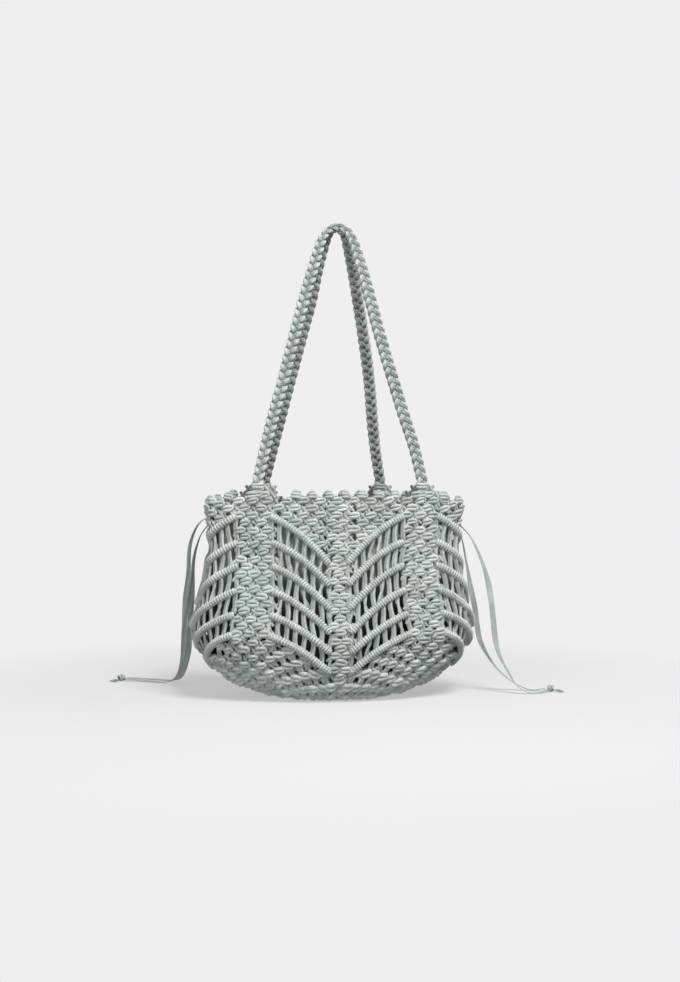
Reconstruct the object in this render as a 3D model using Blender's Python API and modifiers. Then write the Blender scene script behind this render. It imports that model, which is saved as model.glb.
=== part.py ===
"""A knotted tote bag that stands on its base seam: one open chevron wall, a cloth pouch inside it,
two braided shoulder straps on knotted tabs, and a pair of drawstring tapes at each side."""

import math

import bmesh
import bpy
from mathutils import Vector

# Driving dimensions, in metres. The front faces -Y.
BAG_WIDTH = 0.335
BAG_DEPTH = 0.156
RIM_HEIGHT = 0.2365
RIM_DIP = 0.010
WALL = 0.0055
PICOT_HEIGHT = 0.009
PICOT_WIDTH = 0.009
GUSSET_FOLD = 0.036
RIDGE_WIDTH = 0.0077
RIDGE_RELIEF = 0.0025
STRAP_DIAMETER = 0.0145
STRAP_APEX_HEIGHT = 0.5593
STRAP_APEX_X = 0.005
FRONT_TAB_BASE = 0.029
BACK_TAB_BASE = 0.019
TAB_TOP = 0.016
TAB_HEIGHT = 0.0105
TAB_THICKNESS = 0.009
LINING_WALL = 0.001
LINING_CLEARANCE = 0.0055
TAPE_WIDTH = 0.0075
TAPE_THICKNESS = 0.001
TAPE_KNOT_SIZE = (0.013, 0.012, 0.0085)
GAP = 0.0003

# How the wall is divided: columns round the bag, cells from one V's middle to the next, and the
# cells of each half V that are cut through between two ridges.
COLUMNS = 80
CELLS_PER_HALF_V = 10
OPEN_CELLS = (2, 4, 6)
CHEVRON_START = 0.1
CHEVRON_END = 0.8
# Shares of the way from the middle of the front to the middle of the side between which the rim
# dips, and the share of its width that a ring of the base keeps at its seam.
DIP_START = 0.58
DIP_END = 0.86
SEAM_SHARE = 0.55

# Level sections of the outer wall. rise is a share of RIM_HEIGHT, width of BAG_WIDTH, depth of
# BAG_DEPTH and fold of GUSSET_FOLD. squareness is the power of the rounded outline, and front is
# the share of a quarter outline that belongs to the front or back V.
SECTION_COLUMNS = ("rise", "width", "depth", "squareness", "fold", "front")
SECTIONS = (
    (0.00, 0.33, 0.53, 2.0, 0.00, 0.62),
    (0.02, 0.46, 0.68, 2.0, 0.00, 0.62),
    (0.05, 0.61, 0.78, 2.0, 0.00, 0.62),
    (0.08, 0.72, 0.85, 2.1, 0.00, 0.61),
    (0.12, 0.80, 0.90, 2.1, 0.00, 0.60),
    (0.19, 0.90, 0.96, 2.2, 0.03, 0.56),
    (0.25, 0.96, 0.99, 2.2, 0.08, 0.53),
    (0.32, 1.00, 1.00, 2.3, 0.15, 0.51),
    (0.42, 0.98, 0.92, 2.6, 0.30, 0.50),
    (0.50, 0.94, 0.86, 2.8, 0.45, 0.50),
    (0.60, 0.91, 0.78, 3.2, 0.65, 0.50),
    (0.70, 0.880, 0.71, 3.6, 0.85, 0.505),
    (0.81, 0.875, 0.66, 4.0, 0.97, 0.51),
    (0.91, 0.898, 0.64, 4.2, 1.00, 0.505),
    (1.00, 0.912, 0.62, 4.2, 1.00, 0.50),
)

# The six ridges of every V, as shares of RIM_HEIGHT, at the top and at the bottom of their slope.
RIDGES = (
    (0.907, 0.669),
    (0.780, 0.567),
    (0.667, 0.455),
    (0.548, 0.342),
    (0.434, 0.247),
    (0.337, 0.145),
)

# Where the strap tabs stand on the rim: name, x, front (1) or back (-1), and width of the foot.
TABS = {
    "strap_tab_front_left": (-0.0925, 1, FRONT_TAB_BASE),
    "strap_tab_front_right": (0.1005, 1, FRONT_TAB_BASE),
    "strap_tab_back_left": (-0.0780, -1, BACK_TAB_BASE),
    "strap_tab_back_right": (0.0650, -1, BACK_TAB_BASE),
}

# Rows under the last ridge, as shares of its lower edge's height. The last one lies on the ground.
LOWER_ROWS = (0.5, 0.2, 0.0)

# The pouch, from its open top down: rise as a share of RIM_HEIGHT, slack as a share of WALL.
LINING_ROWS = ((0.90, 0.0), (0.78, 0.0), (0.60, 0.2), (0.40, 0.7), (0.20, 0.8), (0.09, 0.5), (0.03, 0.2))
LINING_COLUMNS = 32
LINING_BASE = 0.8

# One strap leg, from its tab up: rise as a share of the way up, the others as shares of the way
# from the apex out to the tab, depth as a share of the tab's distance behind or before it, and
# girth as a share of STRAP_DIAMETER.
LEG_COLUMNS = ("rise", "front_left", "front_right", "back_left", "back_right", "depth", "girth")
LEG_SHAPE = (
    (0.000, 1.000, 1.000, 1.000, 1.000, 1.00, 0.90),
    (0.025, 1.000, 1.000, 1.000, 1.000, 1.00, 0.90),
    (0.150, 0.905, 0.910, 0.890, 0.885, 0.88, 0.95),
    (0.277, 0.800, 0.785, 0.775, 0.805, 0.75, 1.00),
    (0.396, 0.690, 0.675, 0.665, 0.745, 0.62, 1.00),
    (0.500, 0.605, 0.580, 0.565, 0.670, 0.51, 1.00),
    (0.610, 0.510, 0.485, 0.460, 0.575, 0.40, 1.00),
    (0.730, 0.405, 0.390, 0.345, 0.465, 0.28, 1.00),
    (0.840, 0.300, 0.295, 0.265, 0.355, 0.17, 0.98),
    (0.930, 0.212, 0.213, 0.171, 0.240, 0.07, 0.85),
    (0.980, 0.130, 0.135, 0.100, 0.150, 0.01, 0.72),
    (1.000, 0.000, 0.000, 0.000, 0.000, 0.00, 0.69),
)

# The tapes' routes, chosen by hand: x, y, z and the heading of the tape's width in degrees. The
# first point of each is at the side fold, and the last one is at the knot.
TAPE_ROUTES = {
    "ribbon_left_a": (
        (-0.1440, -0.001, 0.2140, 90),
        (-0.1600, 0.000, 0.2040, 80),
        (-0.1690, 0.006, 0.1790, 60),
        (-0.1715, 0.016, 0.1430, 30),
        (-0.1745, 0.030, 0.1060, 10),
        (-0.1760, 0.046, 0.0720, 15),
        (-0.1770, 0.064, 0.0400, 30),
        (-0.1830, 0.090, 0.0140, 45),
        (-0.1960, 0.112, 0.0025, 50),
        (-0.2180, 0.128, 0.0010, 55),
        (-0.2491, 0.1392, 0.0035, 70),
    ),
    "ribbon_left_b": (
        (-0.1430, 0.004, 0.2070, 90),
        (-0.1570, 0.013, 0.1900, 90),
        (-0.1645, 0.024, 0.1600, 60),
        (-0.1665, 0.036, 0.1270, 30),
        (-0.1680, 0.049, 0.0980, 10),
        (-0.1695, 0.063, 0.0700, 0),
        (-0.1710, 0.080, 0.0420, 20),
        (-0.1760, 0.101, 0.0160, 40),
        (-0.1860, 0.123, 0.0030, 50),
        (-0.2080, 0.143, 0.0010, 60),
        (-0.2482, 0.1472, 0.0035, 100),
    ),
    "ribbon_right_a": (
        (0.1440, 0.003, 0.2130, 90),
        (0.1560, 0.004, 0.1950, 90),
        (0.1640, 0.004, 0.1600, 60),
        (0.1690, 0.004, 0.1284, 30),
        (0.1755, 0.005, 0.1000, 10),
        (0.1780, 0.005, 0.0800, 10),
        (0.1820, 0.005, 0.0600, 30),
        (0.1930, 0.006, 0.0400, 60),
        (0.2090, 0.006, 0.0210, 80),
        (0.2280, 0.004, 0.0070, 85),
        (0.2440, -0.001, 0.0012, 75),
        (0.2589, -0.0066, 0.0035, 55),
    ),
    "ribbon_right_b": (
        (0.1460, -0.004, 0.2075, 90),
        (0.1640, -0.008, 0.1920, 80),
        (0.1770, -0.010, 0.1680, 50),
        (0.1850, -0.012, 0.1420, 30),
        (0.1905, -0.013, 0.1150, 10),
        (0.1935, -0.014, 0.0880, 0),
        (0.1960, -0.015, 0.0620, 20),
        (0.2010, -0.016, 0.0440, 50),
        (0.2110, -0.018, 0.0260, 70),
        (0.2200, -0.021, 0.0105, 80),
        (0.2340, -0.024, 0.0015, 90),
        (0.2480, -0.0215, 0.0010, 100),
        (0.2597, -0.0155, 0.0035, 125),
    ),
}
TAPE_EXIT_RISE = {"a": 0.911, "b": 0.894}
TAPE_EXIT_OFFSET = 0.0029
TAPE_KNOTS = {
    "ribbon_knot_left": (-0.2545, 0.1427, 30),
    "ribbon_knot_right": (0.2647, -0.0108, -20),
}

QUARTER_STEPS = 48


def reset_scene():
    for obj in list(bpy.data.objects):
        bpy.data.objects.remove(obj, do_unlink=True)


def make_material(name, colour, roughness):
    material = bpy.data.materials.new(name)
    material.use_nodes = True
    shader = material.node_tree.nodes["Principled BSDF"]
    shader.inputs["Base Color"].default_value = (*colour, 1.0)
    shader.inputs["Roughness"].default_value = roughness
    shader.inputs["Metallic"].default_value = 0.0
    return material


def add_object(name, data, collection, material):
    obj = bpy.data.objects.new(name, data)
    data.materials.append(material)
    collection.objects.link(obj)
    return obj


def smooth_read(table, columns, key, position, wanted):
    """Value of one column at a position along the key column, on a smooth curve through the rows."""
    at = [row[columns.index(key)] for row in table]
    value = [row[columns.index(wanted)] for row in table]
    position = min(max(position, at[0]), at[-1])
    high = next(i for i in range(1, len(at)) if position <= at[i] or i == len(at) - 1)
    low = high - 1

    def slope(i):
        before = max(i - 1, 0)
        after = min(i + 1, len(at) - 1)
        return (value[after] - value[before]) / (at[after] - at[before])

    span = at[high] - at[low]
    t = (position - at[low]) / span
    return (
        (2 * t**3 - 3 * t**2 + 1) * value[low]
        + (t**3 - 2 * t**2 + t) * span * slope(low)
        + (3 * t**2 - 2 * t**3) * value[high]
        + (t**3 - t**2) * span * slope(high)
    )


def section_value(rise, wanted):
    return smooth_read(SECTIONS, SECTION_COLUMNS, "rise", rise, wanted)


def quarter_outline(rise):
    """Points of the outer wall at this rise, from the middle of the front to the middle of the side."""
    half_width = section_value(rise, "width") * BAG_WIDTH / 2
    half_depth = section_value(rise, "depth") * BAG_DEPTH / 2
    power = section_value(rise, "squareness")
    fold = section_value(rise, "fold") * GUSSET_FOLD
    points = []
    for step in range(QUARTER_STEPS + 1):
        t = step / QUARTER_STEPS
        if t <= 0.5:
            angle = math.pi / 4 * (2 * t) ** (power / 2)
        else:
            angle = math.pi / 2 - math.pi / 4 * (2 * (1 - t)) ** (power / 2)
        across = math.sin(angle) ** (2 / power)
        ahead = max(math.cos(angle), 0.0) ** (2 / power)
        points.append([half_width * across - fold * across * (1 - ahead**2) ** 1.5, ahead * half_depth])
    widest = max(point[0] for point in points)
    return [(x * half_width / widest, -y) for x, y in points]


OUTLINES = {}


def outline_at(rise):
    """The quarter outline with its running length, kept for each rise that is asked for."""
    key = round(rise, 5)
    if key not in OUTLINES:
        points = quarter_outline(rise)
        lengths = [0.0]
        for before, after in zip(points, points[1:]):
            lengths.append(lengths[-1] + math.dist(before, after))
        OUTLINES[key] = (points, lengths)
    return OUTLINES[key]


def point_along(rise, length):
    points, lengths = outline_at(rise)
    length = min(max(length, 0.0), lengths[-1])
    high = next(i for i in range(1, len(lengths)) if length <= lengths[i] + 1e-12)
    t = (length - lengths[high - 1]) / (lengths[high] - lengths[high - 1])
    return [a + (b - a) * t for a, b in zip(points[high - 1], points[high])]


def wall_point(turn, height):
    """Outer wall at a share of a whole turn (0 front, 0.25 right side) and a height."""
    rise = min(height / RIM_HEIGHT, 1.0)
    quarter = (turn % 1.0) * 4
    index = int(quarter) % 4
    part = quarter - int(quarter)
    if index % 2:
        part = 1 - part
    front = section_value(rise, "front")
    share = 2 * part * front if part < 0.5 else front + (2 * part - 1) * (1 - front)
    x, y = point_along(rise, share * outline_at(rise)[1][-1])
    side = 1 if index < 2 else -1
    face = 1 if index in (0, 3) else -1
    return Vector((side * x, face * y, height))


def wall_normal(turn, height):
    """Outward direction of the wall."""
    step = 0.002
    low = max(height - step, 0.0)
    along = wall_point(turn + step, height) - wall_point(turn - step, height)
    up = wall_point(turn, low + 2 * step) - wall_point(turn, low)
    return along.cross(up).normalized()


def turn_at(x, face):
    """Turn at which the front (face 1) or back (face -1) of the rim stands at this x."""
    low, high = 0.0, 0.2
    for _ in range(40):
        middle = (low + high) / 2
        if wall_point(middle, RIM_HEIGHT).x < abs(x):
            low = middle
        else:
            high = middle
    turn = low if x > 0 else -low
    return turn if face > 0 else 0.5 - turn


def chevron_share(turn):
    """0 at the foot of the ridges beside a V's middle, 1 at their upper ends."""
    along = (turn * 4) % 1.0
    half = 2 * min(along, 1 - along)
    return min(max((half - CHEVRON_START) / (CHEVRON_END - CHEVRON_START), 0.0), 1.0)


def rim_height(turn):
    """The rim stands highest over the middle of the front and back, and dips at the sides."""
    quarter = (turn % 0.5) * 4
    side = 1 - abs(quarter - 1)
    t = min(max((side - DIP_START) / (DIP_END - DIP_START), 0.0), 1.0)
    return RIM_HEIGHT - RIM_DIP * (3 * t**2 - 2 * t**3)


def wall_levels(turn):
    """Height and relief of every row edge of the wall at this turn, from the rim down."""
    share = chevron_share(turn)
    rim = rim_height(turn)
    relief = RIDGE_RELIEF if 0.01 < share < 0.99 else 0.0
    ridges = [(lower + (upper - lower) * share) * RIM_HEIGHT for upper, lower in RIDGES]
    levels = [(rim, 0.0), ((rim + ridges[0] + RIDGE_WIDTH / 2) / 2, 0.0)]
    for height in ridges:
        levels += [(height + RIDGE_WIDTH / 2, 0.0), (height, relief), (height - RIDGE_WIDTH / 2, 0.0)]
    foot = levels[-1][0]
    levels += [(foot * part, 0.0) for part in LOWER_ROWS]
    return levels


def is_open(row, column):
    """Whether this cell, below the given row edge, is cut through: the rows between two ridges."""
    cell = column % (2 * CELLS_PER_HALF_V)
    cell = min(cell, 2 * CELLS_PER_HALF_V - 1 - cell)
    first = 4
    return row in range(first, first + 3 * (len(RIDGES) - 1), 3) and cell in OPEN_CELLS


def has_tooth(centre, half_base):
    """Whether the rim's tooth at this point leaves room for the strap tabs."""
    clear = True
    for x, face, tab_base in TABS.values():
        place = wall_point(turn_at(x, face), RIM_HEIGHT)
        clear = clear and (centre - place).length > half_base + tab_base / 2
    return clear


def add_tooth(mesh, left, middle, right):
    """One stepped knot on the rim, as a tooth that stands on two columns of the wall."""
    half_base = (right.co - middle.co).length
    if has_tooth(middle.co, half_base):
        lift = Vector((0, 0, PICOT_HEIGHT))
        share = PICOT_WIDTH / 2 / half_base
        top_left = mesh.verts.new(middle.co.lerp(left.co, share) + lift)
        top_right = mesh.verts.new(middle.co.lerp(right.co, share) + lift)
        mesh.faces.new((top_left, left, middle))
        mesh.faces.new((top_left, middle, top_right))
        mesh.faces.new((top_right, middle, right))


def add_seam(mesh, ring, inset_share, height):
    """Closes a ring of vertices with a flat base that meets along a seam under the middle."""
    count = len(ring)
    seam = {}
    for i in range(count):
        twin = min(i, (count // 2 - i) % count)
        if twin not in seam:
            seam[twin] = mesh.verts.new((ring[i].co.x * inset_share, 0.0, height))
    for i in range(count):
        j = (i + 1) % count
        inner_j = seam[min(j, (count // 2 - j) % count)]
        inner_i = seam[min(i, (count // 2 - i) % count)]
        mesh.faces.new((ring[i], inner_i, inner_j, ring[j]))


def add_solidify(obj, thickness, offset):
    modifier = obj.modifiers.new("wall", "SOLIDIFY")
    modifier.thickness = thickness
    modifier.offset = offset
    modifier.use_even_offset = False
    modifier.use_quality_normals = True


def build_body(collection, material):
    mesh = bmesh.new()
    rows = []
    for column in range(COLUMNS):
        turn = column / COLUMNS
        points = []
        for height, relief in wall_levels(turn):
            point = wall_point(turn, height)
            if relief:
                point += wall_normal(turn, height) * relief
            points.append(mesh.verts.new(point))
        rows.append(points)
    for column in range(COLUMNS):
        left = rows[column]
        right = rows[(column + 1) % COLUMNS]
        for row in range(len(left) - 1):
            if not is_open(row, column):
                mesh.faces.new((left[row], left[row + 1], right[row + 1], right[row]))
        if column % 2:
            add_tooth(mesh, rows[column - 1][0], left[0], right[0])
    add_seam(mesh, [points[-1] for points in rows], SEAM_SHARE, 0.0)
    data = bpy.data.meshes.new("macrame_body")
    mesh.to_mesh(data)
    mesh.free()
    obj = add_object("macrame_body", data, collection, material)
    add_solidify(obj, WALL, -1)


def build_lining(collection, material):
    """The pouch hangs inside the wall and its flat bottom lies on the wall's base."""
    mesh = bmesh.new()
    rings = []
    for rise, slack in LINING_ROWS:
        inset = WALL + LINING_CLEARANCE + slack * WALL
        ring = []
        for column in range(LINING_COLUMNS):
            turn = column / LINING_COLUMNS
            height = rise * RIM_HEIGHT
            point = wall_point(turn, height) - wall_normal(turn, height) * inset
            ring.append(mesh.verts.new(point))
        rings.append(ring)
    bottom = []
    floor = WALL + 2 * GAP
    for column in range(LINING_COLUMNS):
        point = wall_point(column / LINING_COLUMNS, 0.0) * LINING_BASE
        bottom.append(mesh.verts.new((point.x, point.y, floor)))
    rings.append(bottom)
    for upper, lower in zip(rings, rings[1:]):
        for i in range(LINING_COLUMNS):
            j = (i + 1) % LINING_COLUMNS
            mesh.faces.new((upper[i], lower[i], lower[j], upper[j]))
    add_seam(mesh, bottom, SEAM_SHARE, floor)
    data = bpy.data.meshes.new("lining_pouch")
    mesh.to_mesh(data)
    mesh.free()
    obj = add_object("lining_pouch", data, collection, material)
    add_solidify(obj, LINING_WALL, -1)


def anchor(x, face):
    """Point on the middle of the rim's wall under a strap, and the rim's direction there."""
    turn = turn_at(x, face)
    outer = wall_point(turn, RIM_HEIGHT)
    normal = wall_normal(turn, RIM_HEIGHT)
    normal.z = 0
    normal.normalize()
    return outer - normal * (WALL / 2), math.atan2(normal.y, normal.x)


def build_tab(name, collection, material):
    x, face, base = TABS[name]
    place, heading = anchor(x, face)
    mesh = bmesh.new()
    bmesh.ops.create_cube(mesh, size=1.0)
    for vertex in mesh.verts:
        width = TAB_TOP if vertex.co.z > 0 else base
        depth = TAB_THICKNESS if vertex.co.z > 0 else WALL
        vertex.co = Vector((vertex.co.x * depth, vertex.co.y * width, (vertex.co.z + 0.5) * TAB_HEIGHT))
    data = bpy.data.meshes.new(name)
    mesh.to_mesh(data)
    mesh.free()
    obj = add_object(name, data, collection, material)
    obj.location = (place.x, place.y, RIM_HEIGHT + GAP)
    obj.rotation_euler = (0, 0, heading)


def smooth_route(points, steps):
    """Points on a smooth curve through the given ones, with so many steps between two of them."""
    size = len(points[0])
    first = [2 * points[0][i] - points[1][i] for i in range(size)]
    last = [2 * points[-1][i] - points[-2][i] for i in range(size)]
    padded = [first, *points, last]
    route = []
    for a, b, c, d in zip(padded, padded[1:], padded[2:], padded[3:]):
        for step in range(steps):
            t = step / steps
            route.append(
                [
                    0.5
                    * (
                        2 * b[i]
                        + (c[i] - a[i]) * t
                        + (2 * a[i] - 5 * b[i] + 4 * c[i] - d[i]) * t**2
                        + (3 * b[i] - a[i] - 3 * c[i] + d[i]) * t**3
                    )
                    for i in range(size)
                ]
            )
    route.append(list(points[-1]))
    return route


def leg_points(tab, column, apex_y):
    """Route and girth of one leg from its tab to the apex."""
    x, face, _ = TABS[tab]
    base, _ = anchor(x, face)
    foot = RIM_HEIGHT + TAB_HEIGHT + 2 * GAP
    points = []
    for row in LEG_SHAPE:
        spread = row[LEG_COLUMNS.index(column)]
        depth = row[LEG_COLUMNS.index("depth")]
        points.append(
            (
                STRAP_APEX_X + (base.x - STRAP_APEX_X) * spread,
                apex_y + (base.y - apex_y) * depth,
                foot + (STRAP_APEX_HEIGHT - foot) * row[0],
                row[-1],
            )
        )
    return points


def build_strap(side, face, collection, material):
    """A thick braided band, as one round tube that meets both tabs with a flat end."""
    name = "strap_" + side
    apex_y = -face * (STRAP_DIAMETER / 2 * LEG_SHAPE[-1][-1] + GAP)
    left = leg_points("strap_tab_" + side + "_left", side + "_left", apex_y)
    right = leg_points("strap_tab_" + side + "_right", side + "_right", apex_y)
    route = [left[0], *smooth_route(left[1:] + right[-2:0:-1], 2), right[0]]
    curve = bpy.data.curves.new(name, "CURVE")
    curve.dimensions = "3D"
    curve.bevel_depth = STRAP_DIAMETER / 2
    curve.bevel_resolution = 2
    curve.use_fill_caps = True
    spline = curve.splines.new("POLY")
    spline.points.add(len(route) - 1)
    for point, (x, y, z, girth) in zip(spline.points, route):
        point.co = (x, y, z, 1.0)
        point.radius = girth
    add_object(name, curve, collection, material)


def build_tape(name, collection, material):
    """A flat tape that comes out at the side fold, hangs, and lies along the ground to its knot."""
    route = TAPE_ROUTES[name]
    side_turn = 0.75 if "left" in name else 0.25
    height = TAPE_EXIT_RISE[name[-1]] * RIM_HEIGHT
    start = wall_point(side_turn, height) + wall_normal(side_turn, height) * TAPE_EXIT_OFFSET
    route = ((start.x, start.y, height, 90), *route)
    stations = smooth_route(route, 2)
    mesh = bmesh.new()
    edges = []
    for i, (x, y, z, heading) in enumerate(stations):
        before = Vector(stations[max(i - 1, 0)][:3])
        after = Vector(stations[min(i + 1, len(stations) - 1)][:3])
        along = (after - before).normalized()
        across = Vector((math.cos(math.radians(heading)), math.sin(math.radians(heading)), 0))
        across = (across - along * across.dot(along)).normalized() * TAPE_WIDTH / 2
        edges.append((mesh.verts.new(Vector((x, y, z)) - across), mesh.verts.new(Vector((x, y, z)) + across)))
    for (a, b), (c, d) in zip(edges, edges[1:]):
        mesh.faces.new((a, b, d, c))
    data = bpy.data.meshes.new(name)
    mesh.to_mesh(data)
    mesh.free()
    obj = add_object(name, data, collection, material)
    add_solidify(obj, TAPE_THICKNESS, 0)


def build_tape_knot(name, collection, material):
    """The overhand knot that holds a pair of tapes together, lying on the ground."""
    x, y, heading = TAPE_KNOTS[name]
    mesh = bmesh.new()
    bmesh.ops.create_uvsphere(mesh, u_segments=10, v_segments=6, radius=0.5)
    for vertex in mesh.verts:
        vertex.co = Vector((vertex.co.x * TAPE_KNOT_SIZE[0], vertex.co.y * TAPE_KNOT_SIZE[1],
                            vertex.co.z * TAPE_KNOT_SIZE[2]))
    data = bpy.data.meshes.new(name)
    mesh.to_mesh(data)
    mesh.free()
    obj = add_object(name, data, collection, material)
    obj.location = (x, y, TAPE_KNOT_SIZE[2] / 2 + GAP)
    obj.rotation_euler = (0, 0, math.radians(heading))


def main():
    reset_scene()
    collection = bpy.data.collections.new("knotted_tote_bag")
    bpy.context.scene.collection.children.link(collection)
    cord = make_material("cotton_cord", (0.50, 0.56, 0.53), 0.85)
    cloth = make_material("lining_cloth", (0.60, 0.69, 0.64), 0.8)
    tape = make_material("drawstring_tape", (0.34, 0.40, 0.39), 0.7)
    build_body(collection, cord)
    build_lining(collection, cloth)
    for name in TABS:
        build_tab(name, collection, cord)
    build_strap("front", 1, collection, cord)
    build_strap("back", -1, collection, cord)
    for name in TAPE_ROUTES:
        build_tape(name, collection, tape)
    for name in TAPE_KNOTS:
        build_tape_knot(name, collection, tape)


main()
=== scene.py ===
"""The looks of the knotted tote bag: real square knots on the wall, wrapped ridges, loose strands in
the open rows, braided straps, a gathered cloth pouch and the drawstring tapes."""

import math

import bpy
import numpy as np
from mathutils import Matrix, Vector


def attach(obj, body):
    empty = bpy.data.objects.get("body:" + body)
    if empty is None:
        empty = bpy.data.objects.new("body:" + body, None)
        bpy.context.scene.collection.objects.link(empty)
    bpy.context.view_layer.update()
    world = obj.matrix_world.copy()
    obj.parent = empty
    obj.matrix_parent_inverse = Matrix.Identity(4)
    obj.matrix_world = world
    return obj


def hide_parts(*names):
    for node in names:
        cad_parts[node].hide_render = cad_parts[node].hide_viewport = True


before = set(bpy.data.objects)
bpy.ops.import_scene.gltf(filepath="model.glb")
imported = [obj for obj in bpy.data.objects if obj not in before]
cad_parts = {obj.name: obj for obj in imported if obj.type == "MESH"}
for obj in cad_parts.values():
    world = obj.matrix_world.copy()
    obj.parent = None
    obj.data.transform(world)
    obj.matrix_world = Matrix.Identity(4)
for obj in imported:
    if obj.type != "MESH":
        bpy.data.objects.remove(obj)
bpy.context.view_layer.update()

MM = 0.001
SEED = 7
PHOTO_WIDTH, PHOTO_HEIGHT = 680, 982

# Sizes of the wall, as the solids have them
BAG_WIDTH = 0.335
BAG_DEPTH = 0.156
RIM_HEIGHT = 0.2365
RIM_DIP = 0.010
DIP_START = 0.58
DIP_END = 0.86
WALL = 0.0055
GUSSET_FOLD = 0.036
STRAP_DIAMETER = 0.0145
STRAP_APEX_HEIGHT = 0.5593
STRAP_APEX_X = 0.005
FRONT_TAB_BASE = 0.029
BACK_TAB_BASE = 0.019
TAB_HEIGHT = 0.0105
GAP = 0.0003
CHEVRON_START = 0.1
CHEVRON_END = 0.8
RIDGE_BOW = 0.5

# Level sections: shares of RIM_HEIGHT, BAG_WIDTH, BAG_DEPTH, then squareness, share of GUSSET_FOLD
# and the share of a quarter outline that belongs to the front or back V.
SECTIONS = (
    (0.00, 0.33, 0.53, 2.0, 0.00, 0.62),
    (0.02, 0.46, 0.68, 2.0, 0.00, 0.62),
    (0.05, 0.61, 0.78, 2.0, 0.00, 0.62),
    (0.08, 0.72, 0.85, 2.1, 0.00, 0.61),
    (0.12, 0.80, 0.90, 2.1, 0.00, 0.60),
    (0.19, 0.90, 0.96, 2.2, 0.03, 0.56),
    (0.25, 0.96, 0.99, 2.2, 0.08, 0.53),
    (0.32, 1.00, 1.00, 2.3, 0.15, 0.51),
    (0.42, 0.98, 0.92, 2.6, 0.30, 0.50),
    (0.50, 0.94, 0.86, 2.8, 0.45, 0.50),
    (0.60, 0.91, 0.78, 3.2, 0.65, 0.50),
    (0.70, 0.880, 0.71, 3.6, 0.85, 0.505),
    (0.81, 0.875, 0.66, 4.0, 0.97, 0.51),
    (0.91, 0.898, 0.64, 4.2, 1.00, 0.505),
    (1.00, 0.912, 0.62, 4.2, 1.00, 0.50),
)
# Heights of each ridge's upper and lower end, as shares of RIM_HEIGHT
RIDGES = (
    (0.907, 0.669), (0.780, 0.567), (0.667, 0.455),
    (0.548, 0.342), (0.434, 0.247), (0.337, 0.145),
)
# Middle of each tab, its face (1 front, -1 back) and the width of its foot
TABS = {
    "strap_tab_front_left": (-0.0925, 1, FRONT_TAB_BASE),
    "strap_tab_front_right": (0.1005, 1, FRONT_TAB_BASE),
    "strap_tab_back_left": (-0.0780, -1, BACK_TAB_BASE),
    "strap_tab_back_right": (0.0650, -1, BACK_TAB_BASE),
}
# Strap legs: share of the rise to the apex, what is left there of each leg's way to the middle and of
# its depth, and the girth as a share of STRAP_DIAMETER
LEG_COLUMNS = ("rise", "front_left", "front_right", "back_left", "back_right", "depth", "girth")
LEG_SHAPE = (
    (0.000, 1.000, 1.000, 1.000, 1.000, 1.00, 0.90),
    (0.025, 1.000, 1.000, 1.000, 1.000, 1.00, 0.90),
    (0.150, 0.905, 0.910, 0.890, 0.885, 0.88, 0.95),
    (0.277, 0.800, 0.785, 0.775, 0.805, 0.75, 1.00),
    (0.396, 0.690, 0.675, 0.665, 0.745, 0.62, 1.00),
    (0.500, 0.605, 0.580, 0.565, 0.670, 0.51, 1.00),
    (0.610, 0.510, 0.485, 0.460, 0.575, 0.40, 1.00),
    (0.730, 0.405, 0.390, 0.345, 0.465, 0.28, 1.00),
    (0.840, 0.300, 0.295, 0.265, 0.355, 0.17, 0.98),
    (0.930, 0.212, 0.213, 0.171, 0.240, 0.07, 0.85),
    (0.980, 0.130, 0.135, 0.100, 0.150, 0.01, 0.72),
    (1.000, 0.000, 0.000, 0.000, 0.000, 0.00, 0.69),
)

# Cord work
KNOTS_ROUND = 40
KNOT_PITCH = 0.0202
ROW_PITCH = 0.0084
LOWER_ROW_PITCH = 0.0096
RIDGE_RADIUS = 0.0042
WRAP_PITCH = 0.0033
STRAND_RADIUS = 0.0017
CORD_STITCH = 0.0017
CORD_STITCHES_ROUND = 4
BRAID_PERIOD = 0.029
# Painted shade on the back strap, which lies in the front strap's shadow
BACK_STRAP_PAINTED_SHADE = 0.78
FLOOR = 0.0003
# Painted light on the lowest knots, which face the ground: how much lighter they are painted, and up to
# what height
LOW_KNOT_PAINTED_LIGHT = 0.34
LOW_KNOT_TOP = 0.060
# Shares of a half V where its solid columns end, and how far their outer knots move, in turns
FOOT_COLUMN = 0.11
HEAD_COLUMN = 0.79
FOOT_SHIFT = -0.0048
HEAD_SHIFT = 0.0045

# The camera stands in front and a little to the left, level with the rim.
CAMERA_DISTANCE = 1.55
CAMERA_HEIGHT = 0.2435
CAMERA_AZIMUTH = -7
CAMERA_PIXELS_PER_METRE = 836
CAMERA_FOCAL_PIXELS = CAMERA_PIXELS_PER_METRE * CAMERA_DISTANCE
BAG_MIDDLE_PIXEL = 332.5
SENSOR_WIDTH = 36.0

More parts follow.
